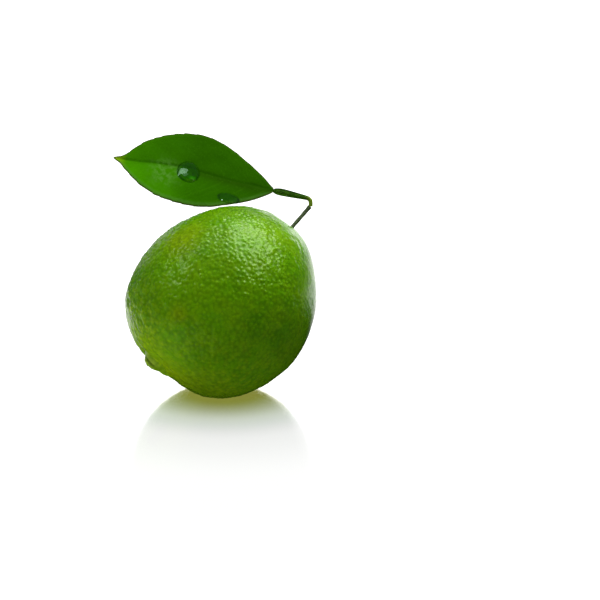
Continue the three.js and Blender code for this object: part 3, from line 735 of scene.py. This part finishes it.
# ---------- water drops ----------
def drop_mesh(drop, rings=28, sides=72):
    r = np.concatenate([[0.0], np.sin(np.linspace(0, np.pi / 2, rings)[1:])])
    turn = np.arange(sides) * 2 * np.pi / sides
    outline = 1 + 0.05 * np.cos(2 * turn + 0.8) + 0.04 * np.cos(3 * turn + 2.0)
    t = drop["at"] + r[:, None] * outline * drop["long"] * np.cos(turn) / BLADE_LENGTH
    w = drop["across"] + r[:, None] * outline * drop["wide"] * np.sin(turn)
    rise = drop["high"] * (1 - r ** 2.6)[:, None] * np.ones(sides)
    ground = blade_top(t, w) - 0.03
    top = on_blade(t, w, ground + rise)
    bottom = on_blade(t, w, ground - 0.05)
    points = [top[0].mean(0)[None]] + [top[i] for i in range(1, rings)] + [bottom[i] for i in range(rings - 2, 0, -1)] + [bottom[0].mean(0)[None]]
    loops = points[1:-1]
    stack = np.concatenate([loops[0][None] * 0 + points[0]] + [l[None] for l in loops] + [loops[0][None] * 0 + points[-1]])
    n = len(loops)
    verts = np.concatenate([points[0]] + loops + [points[-1]])
    faces = []
    for j in range(sides):
        k = (j + 1) % sides
        faces.append((0, 1 + j, 1 + k))
        faces.append((len(verts) - 1, 1 + (n - 1) * sides + k, 1 + (n - 1) * sides + j))
        for i in range(n - 1):
            faces.append((1 + i * sides + j, 1 + (i + 1) * sides + j, 1 + (i + 1) * sides + k, 1 + i * sides + k))
    quads = np.array([f for f in faces if len(f) == 4])
    if not facing_out(verts, quads):
        faces = [tuple(reversed(f)) for f in faces]
    return verts, faces


# ---------- calyx, stem and leaf stalk ----------
CALYX_U = unit(AXIS_U - (AXIS_U @ CALYX_DIR) * CALYX_DIR)
CALYX_V = np.cross(CALYX_DIR, CALYX_U)


def calyx_mesh(rings=30, sides=150):
    r = np.linspace(0, 1, rings) ** 0.85
    turn = np.arange(sides) * 2 * np.pi / sides
    lobes = 0.80 + 0.30 * np.abs(np.cos(2.5 * turn)) ** 0.75
    wobble = 1 + 0.04 * np.cos(turn + 1.0) + 0.03 * np.cos(3 * turn)
    reach = CALYX_RADIUS * lobes * wobble * r[:, None]
    d = unit(CALYX_DIR + (reach / 29)[..., None] * (CALYX_U * np.cos(turn)[:, None] + CALYX_V * np.sin(turn)[:, None]))
    crown = 0.95 * np.exp(-((reach / 1.25) ** 2)) + 0.22 * np.exp(-(((reach - 1.9) / 0.5) ** 2))
    ribs = 0.07 * np.cos(10 * turn) * smoothstep(0.5, 1.4, reach) + 0.03 * np.cos(37 * turn + 1) * smoothstep(0.8, 2.0, reach)
    rim = np.sqrt(np.clip(1 - np.clip((r - 0.86) / 0.14, 0, 1) ** 2, 0, 1))[:, None]
    thick = (0.42 + 0.10 * smoothstep(2.0, 3.2, reach)) * rim
    top = on_fruit(d.reshape(-1, 3), 0).reshape(d.shape) + d * (thick + crown + ribs * rim)[..., None]
    bottom = on_fruit(d.reshape(-1, 3), 0).reshape(d.shape) - d * 0.12
    rings_list = [top[i] for i in range(1, rings)] + [bottom[i] for i in range(rings - 1, 0, -1)]
    verts = np.concatenate([top[0].mean(0)[None]] + rings_list + [bottom[0].mean(0)[None]])
    n = len(rings_list)
    faces = []
    for j in range(sides):
        k = (j + 1) % sides
        faces.append((0, 1 + j, 1 + k))
        faces.append((len(verts) - 1, 1 + (n - 1) * sides + k, 1 + (n - 1) * sides + j))
        for i in range(n - 1):
            faces.append((1 + i * sides + j, 1 + (i + 1) * sides + j, 1 + (i + 1) * sides + k, 1 + i * sides + k))
    quads = np.array([f for f in faces if len(f) == 4])
    if not facing_out(verts, quads):
        faces = [tuple(reversed(f)) for f in faces]
    shade = np.concatenate([[0.0]] + [smoothstep(0.75, 1.0, r[i]) + 0 * turn for i in range(1, rings)]
                           + [np.ones(sides) for _ in range(rings - 1)] + [[1.0]])
    return verts, faces, {"shade": shade}


def catmull(points, t):
    """Points on a smooth curve through the given ones; t from 0 to 1 by length."""
    p = np.asarray(points, float)
    at = np.concatenate([[0], np.cumsum(np.linalg.norm(np.diff(p, axis=0), axis=1))])
    return hermite(at / at[-1], p, t)


def tube(path, half, sides, wobble, facing=None):
    """Rings round a path (an array of points); half gives both half-sizes at each."""
    path = np.asarray(path, float)
    tangent = unit(np.gradient(path, axis=0))
    if facing is None:
        across = unit(np.cross(np.array([0, 1.0, 0]), tangent))
    else:
        across = unit(np.cross(facing, tangent))
    thick = np.cross(tangent, across)
    turn = np.arange(sides) * 2 * np.pi / sides
    return path[:, None] + across[:, None] * (half[0] * np.cos(turn) * wobble)[..., None] \
        + thick[:, None] * (half[1] * np.sin(turn) * wobble)[..., None]


def stem_mesh():
    foot = on_fruit(CALYX_DIR[None], 0.95)[0]
    steps, sides = 130, 40
    t = np.linspace(0, 1, steps)
    path = catmull([foot] + STEM_MIDDLE + [STEM_NODE], t)
    turn = np.arange(sides) * 2 * np.pi / sides
    r = STEM_RADIUS + 0.42 * np.exp(-((t / 0.07) ** 2)) + (STEM_NODE_RADIUS - STEM_RADIUS) * np.exp(-(((1 - t) / 0.08) ** 2))
    r += 0.05 * np.exp(-(((t - 0.93) / 0.012) ** 2))
    r *= np.sqrt(np.clip(1 - (np.clip((t - 0.965) / 0.035, 0, 1)) ** 2.2, 0.02, 1))
    r = r[:, None]
    wobble = 1 + 0.05 * np.cos(5 * turn + 2.0 * t[:, None]) + 0.03 * np.cos(9 * turn - 3 * t[:, None]) + 0.03 * np.sin(26 * t)[:, None]
    rings = tube(path, (r, r), sides, wobble)
    points, faces = loft(rings)
    shade = np.repeat(0.5 * np.exp(-(((t - 0.90) / 0.02) ** 2))[:, None], sides, 1).reshape(-1)
    pale = np.repeat(0.25 * smoothstep(0.93, 1.0, t)[:, None], sides, 1).reshape(-1)
    return points, faces, {"shade": np.append(shade, [0, 0]), "pale": np.append(pale, [0, 0])}


def petiole_mesh():
    steps, sides = 170, 64
    t = np.linspace(0, 1, steps)
    path = hermite(PETIOLE_AT, PETIOLE_PATH, t)
    facing = np.array([0, -0.72, 0.69])
    tangent = unit(np.gradient(path, axis=0))
    across = unit(np.cross(facing, tangent))
    thick = np.cross(tangent, across)
    a = hermite(PETIOLE_AT, PETIOLE_HALF_WIDTH, t)[:, None]
    b = hermite(PETIOLE_AT, PETIOLE_HALF_THICK, t)[:, None]
    turn = (np.arange(sides) * 2 * np.pi / sides)[None]
    x = a * np.cos(turn)
    wing = smoothstep(0.55, 0.95, a)
    rib = np.exp(-((x / 0.42) ** 2))
    # a round stalk that flattens into two thin wings beside a rib
    section = b * np.sin(turn) * ((1 - wing) + wing * (0.30 + 0.70 * rib))
    groove = np.where(np.sin(turn) > 0, -0.16 * wing * np.exp(-(((x) / 0.20) ** 2)), 0)
    lift = wing * 0.16 * (np.abs(x) / np.maximum(a, 0.3)) ** 2
    y = section + groove + lift
    end = np.sqrt(np.clip(1 - (1 - np.clip((1 - t) / 0.03, 0, 1)) ** 2, 0.05, 1))[:, None]
    rings = path[:, None] + across[:, None] * (x * end)[..., None] + thick[:, None] * (y * end)[..., None]
    points, faces = loft(rings)
    pale = np.exp(-((np.maximum(t - 0.10, 0) / 0.10) ** 2))[:, None] * np.ones((1, sides)) * 0.88
    pale = np.maximum(pale, 0.05 * wing * np.exp(-(((np.abs(x) - 0.0) / 0.10) ** 2)) * (np.sin(turn) > 0))
    shade = 0.35 * wing * smoothstep(0.2, 0.5, -np.sign(np.cos(turn)) * np.abs(x) / a) * np.ones((steps, 1))
    return points, faces, {"pale": np.append(pale.reshape(-1), [0, 0]), "shade": np.append(shade.reshape(-1), [0, 0])}


def place(obj, node, slot):
    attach(obj, "root")
    if node:
        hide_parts(node)
    return obj


points, faces, values = fruit_mesh()
place(build("lime_fruit", points, faces, [rind_finish()], values), "fruit", "lime_rind")

points, faces, which, values = leaf_mesh()
leaf_top, leaf_under = leaf_finish("leaf_upper", True), leaf_finish("leaf_lower", False)
place(build("lime_leaf", points, faces, [leaf_top, leaf_under], values, which), "leaf_blade", "leaf_skin")

points, faces, values = calyx_mesh()
place(build("lime_calyx", points, faces, [calyx_finish()], values), "calyx", "calyx_button")

points, faces, values = stem_mesh()
place(build("lime_stem", points, faces, [stalk_finish("stem_bark", rgb(76, 91, 60), rgb(116, 131, 98), 0.6)], values), "stem", "stem_bark")

points, faces, values = petiole_mesh()
place(build("lime_petiole", points, faces, [stalk_finish("petiole_skin", rgb(28, 64, 0), rgb(50, 92, 6), 0.5)], values), "petiole", "petiole_skin")

water = water_finish()
points, faces = drop_mesh(DROP_LARGE)
place(build("drop_large", points, faces, [water]), "water_drop_large", "water")
points, faces = drop_mesh(DROP_SMALL)
place(build("drop_small", points, faces, [water]), "water_drop_small", "water")
# light passes through the water to the leaf below
for drop in ("drop_large", "drop_small"):
    bpy.data.objects[drop].visible_shadow = False

# ---------- floor, light and camera ----------
floor_finish = Finish("floor", Roughness=0.11)
floor_finish.shader.inputs["Specular IOR Level"].default_value = 0.0
ray = floor_finish.add("ShaderNodeLightPath").outputs
spot = floor_finish.add("ShaderNodeSeparateXYZ", {0: floor_finish.place}).outputs
away = floor_finish.add("ShaderNodeVectorMath", {0: floor_finish.place, 1: (0.002, 0.002, 0.0)}, operation="DISTANCE").outputs["Value"]


def steps(*parts):
    """A smooth fall-off with the distance from the foot of the fruit, put together from ramps."""
    total = 0.0
    for lo, hi, amount in parts:
        total = floor_finish.math("ADD", total, floor_finish.ramp(away, lo, hi, amount, 0.0))
    return total


def grey(red, green=None, blue=None):
    green = red if green is None else green
    return floor_finish.add("ShaderNodeCombineColor", {0: red, 1: green, 2: green if blue is None else blue}).outputs[0]


# white, and polished: it mirrors the fruit near its foot, and less and less further out; for the camera it glows white,
# dimmed near the foot as painted shade, with a painted yellow-green reflection there
deep = steps((0.012, 0.030, 0.411), (0.020, 0.046, 0.370), (0.030, 0.080, 0.179))
plain = floor_finish.math("SUBTRACT", 1.0, deep)
red = floor_finish.math("ADD", plain, steps((0.010, 0.036, 0.168)))
green = floor_finish.math("ADD", plain, steps((0.012, 0.042, 0.156)))
# what it throws back on the fruit: for other rays the floor glows, painted bounce light, brightest a little left of the
# fruit
bounce = floor_finish.math("MULTIPLY", floor_finish.ramp(spot["X"], -0.05, 0.0, 1.75, 0.38), floor_finish.ramp(spot["X"], -0.26, -0.08, 0.30, 1.0))
# what the fruit mirrors: for reflected rays the floor glows, brighter behind the fruit, as painted light for its rims
back = floor_finish.math("SUBTRACT", spot["Y"], floor_finish.math("MULTIPLY", spot["X"], 0.21))
back = floor_finish.math("SUBTRACT", back, floor_finish.math("MULTIPLY", floor_finish.math("MINIMUM", spot["X"], 0.0), 0.24))
behind = floor_finish.math("MULTIPLY", floor_finish.ramp(back, 0.024, 0.082, 0.0, 1.20), floor_finish.ramp(spot["X"], -0.13, -0.035, 0.08, 1.06))
behind = floor_finish.math("MULTIPLY", behind, floor_finish.ramp(spot["X"], 0.04, 0.27, 1.18, 0.46))
behind = floor_finish.math("MULTIPLY", behind, floor_finish.ramp(spot["X"], -0.01, 0.06, 0.80, 1.24))
share = floor_finish.add("ShaderNodeMix", {0: ray["Is Glossy Ray"], 2: bounce, 3: behind}, data_type="FLOAT").outputs[0]
floor_finish.set("Metallic", ray["Is Camera Ray"])
floor_finish.set("Base Color", floor_finish.mix(ray["Is Camera Ray"], (0.0, 0.0, 0.0, 1.0), grey(floor_finish.math("MULTIPLY", deep, 0.4))))
floor_finish.set("Emission Color", floor_finish.mix(ray["Is Camera Ray"], grey(share), grey(red, green, plain)))
floor_finish.shader.inputs["Emission Strength"].default_value = 1.0
floor_finish.material.cycles.emission_sampling = "NONE"
mesh = bpy.data.meshes.new("floor")
mesh.from_pydata([(-3, -3, 0), (3, -3, 0), (3, 3, 0), (-3, 3, 0)], [], [(0, 1, 2, 3)])
mesh.materials.append(floor_finish.material)
floor = bpy.data.objects.new("floor", mesh)
scene.collection.objects.link(floor)

TARGET = Vector((0.0, 0.0, 0.030))


def softbox(name, direction, distance, width, height, radiance, along=None, seen="both"):
    lamp = bpy.data.lights.new(name, "AREA")
    lamp.shape = "RECTANGLE"
    lamp.size, lamp.size_y = width, height
    lamp.energy = radiance * math.pi * width * height
    obj = bpy.data.objects.new(name, lamp)
    d = Vector(direction).normalized()
    obj.location = TARGET + d * distance
    if along is None:
        obj.rotation_euler = d.to_track_quat("Z", "Y").to_euler()
    else:
        x = Vector(along)
        x = (x - x.dot(d) * d).normalized()
        obj.rotation_euler = Matrix((x, d.cross(x), d)).transposed().to_euler()
    obj.visible_glossy = seen in ("both", "glossy")
    obj.visible_transmission = False
    obj.visible_diffuse = seen in ("both", "diffuse")
    scene.collection.objects.link(obj)
    return obj


key = softbox("key", (0.31, 0.30, 0.90), 0.9, 0.66, 0.42, 11.2, along=(0.6, -0.32, -0.15), seen="diffuse")
shine = softbox("key_shine", (0.33, 0.30, 0.90), 0.9, 0.62, 0.37, 5.35, along=(0.6, -0.32, -0.15), seen="glossy")
veil = softbox("key_veil", (0.27, 0.28, 0.92), 0.9, 0.92, 0.62, 1.05, along=(0.6, -0.32, -0.15), seen="glossy")
shine_low = softbox("key_shine_low", (0.57, -0.09, 0.82), 0.9, 0.36, 0.30, 6.2, along=(1, 0, -0.5), seen="glossy")
left = softbox("left", (-0.58, -0.06, 0.81), 0.9, 0.52, 0.13, 6.9, along=(0.37, 0.50, 0.27), seen="glossy")
fill = softbox("fill", (-0.12, -0.42, 0.90), 0.9, 0.50, 0.50, 1.3, seen="diffuse")
back_left = softbox("back_left", (-0.84, 0.46, 0.14), 0.9, 0.80, 0.28, 2.0, along=(0.46, 0.84, 0.0), seen="diffuse")
glint = softbox("glint", (-0.390, -0.400, 0.830), 0.9, 1.41, 0.92, 2.1, along=(0.848, -0.508, 0.154), seen="glossy")
glint.data.color = (0.6, 1.0, 0.68)
glint_low = softbox("glint_low", (-0.242, -0.736, 0.632), 0.9, 1.48, 0.60, 0.7, along=(0.601, -0.625, -0.498), seen="glossy")
glint_low.data.color = (0.6, 1.0, 0.68)
glint_small = softbox("glint_small", (-0.16, -0.975, 0.14), 0.9, 0.17, 0.36, 5.5, along=(1, 0, 0), seen="glossy")
glint_small.data.color = (0.6, 1.0, 0.68)
# white walls and a ceiling that only the polished floor sees
walls = [softbox("wall_%d" % i, (math.sin(a), math.cos(a), 0.42), 2.4, 5.4, 2.9, 2.5, seen="glossy")
         for i, a in enumerate((0.0, math.pi / 2, math.pi, 3 * math.pi / 2))]
walls.append(softbox("ceiling", (0.0, 0.0, 1.0), 2.4, 5.4, 5.4, 2.5, seen="glossy"))


def lights_only(lamp, names=None, never=()):
    """The lamp lights the named pieces alone, or all but some."""
    group = bpy.data.collections.new(lamp.name + "_lights")
    for name in names or never:
        group.objects.link(bpy.data.objects[name])
    if not names:
        for linked in group.collection_objects:
            linked.light_linking.link_state = "EXCLUDE"
    lamp.light_linking.receiver_collection = group


# each drop shows one window of light, and the leaf stays matt
lights_only(glint, ["drop_large"])
lights_only(glint_low, ["drop_large"])
lights_only(glint_small, ["drop_small"])
for lamp in walls:
    lamp.visible_camera = False
    lights_only(lamp, ["floor"])
for lamp in (shine, veil, shine_low):
    lights_only(lamp, never=("drop_large", "drop_small", "lime_leaf"))
lights_only(left, never=("drop_large", "drop_small"))
for lamp in (key, fill, back_left):
    lights_only(lamp, never=("floor",))

world = bpy.data.worlds.new("studio")
scene.world = world
world.use_nodes = True
nt = world.node_tree
nt.nodes.clear()
out = nt.nodes.new("ShaderNodeOutputWorld")
coord = nt.nodes.new("ShaderNodeTexCoord")
split = nt.nodes.new("ShaderNodeSeparateXYZ")
nt.links.new(coord.outputs["Generated"], split.inputs[0])


def sky_ramp(socket, lo, hi, a, b):
    n = nt.nodes.new("ShaderNodeMapRange")
    n.interpolation_type = "SMOOTHSTEP"
    for key, value in (("From Min", lo), ("From Max", hi), ("To Min", a), ("To Max", b)):
        n.inputs[key].default_value = value
    nt.links.new(socket, n.inputs["Value"])
    return n.outputs["Result"]


def sky_math(operation, a, b):
    n = nt.nodes.new("ShaderNodeMath")
    n.operation = operation
    for i, value in enumerate((a, b)):
        if isinstance(value, bpy.types.NodeSocket):
            nt.links.new(value, n.inputs[i])
        else:
            n.inputs[i].default_value = value
    return n.outputs[0]


# a bright backdrop behind, brighter to the right, in a dim room
path = nt.nodes.new("ShaderNodeLightPath")
low_band = sky_math("MULTIPLY", sky_ramp(split.outputs["Z"], 0.05, 0.28, 1.0, 0.0), sky_ramp(split.outputs["X"], -0.2, 0.45, 0.40, 1.52))
high_band = sky_math("MULTIPLY", sky_ramp(split.outputs["Z"], 0.24, 0.50, 1.0, 0.04), sky_ramp(split.outputs["X"], -0.2, 0.45, 0.40, 0.92))
backdrop = sky_math("MULTIPLY", sky_ramp(split.outputs["Y"], 0.70, 0.89, 0.0, 1.0), sky_math("ADD", low_band, high_band))
backdrop = sky_math("MULTIPLY", backdrop, sky_math("MULTIPLY", sky_ramp(split.outputs["X"], -0.76, -0.36, 0.06, 1.0), sky_ramp(split.outputs["X"], 0.42, 0.72, 1.0, 0.50)))
room = sky_math("ADD", 0.15, sky_math("MULTIPLY", path.outputs["Is Glossy Ray"], -0.12))
strength = sky_math("ADD", backdrop, room)
studio = nt.nodes.new("ShaderNodeBackground")
nt.links.new(strength, studio.inputs["Strength"])
plain = nt.nodes.new("ShaderNodeBackground")
plain.inputs["Strength"].default_value = 1.0
plain.inputs["Color"].default_value = (1, 1, 1, 1)
studio.inputs["Color"].default_value = (1, 1, 1, 1)
pick = nt.nodes.new("ShaderNodeMixShader")
nt.links.new(path.outputs["Is Camera Ray"], pick.inputs[0])
nt.links.new(studio.outputs[0], pick.inputs[1])
nt.links.new(plain.outputs[0], pick.inputs[2])
nt.links.new(pick.outputs[0], out.inputs["Surface"])

camera = bpy.data.objects.new("camera", bpy.data.cameras.new("camera"))
camera.data.sensor_width = 36.0
camera.data.lens = 140.0
camera.data.clip_start = 0.01
camera.data.clip_end = 20.0
camera.location = (0.0249436, -0.667939, 0.232778)
camera.rotation_euler = (math.radians(73.0), 0.0, 0.0)
scene.collection.objects.link(camera)
scene.camera = camera
